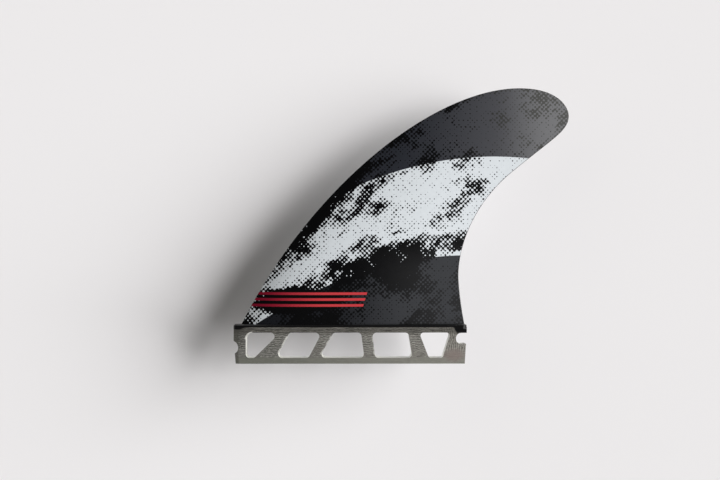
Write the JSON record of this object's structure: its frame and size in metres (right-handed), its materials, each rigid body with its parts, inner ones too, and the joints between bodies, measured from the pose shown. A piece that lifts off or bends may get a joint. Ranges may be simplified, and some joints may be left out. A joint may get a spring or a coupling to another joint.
{
  "type": "surfboard fin",
  "caption": "Swept side fin with a foiled outer face and a flat inner face, moulded in one piece with a base flange and an open-windowed tab that plugs into the board.",
  "frame": {"origin": "middle of the tab's length and thickness, on the plane of the flange's underside, where the fin meets the board", "axes": "+X from the leading edge towards the trailing edge and tip, +Y towards the flat inner face, +Z the span away from the board"},
  "size_m": [0.1656, 0.009, 0.1357],
  "materials": {
    "fin_body": "gloss"
  },
  "bodies": {
    "root": {"fin": "fin_body"}
  },
  "joints": []
}
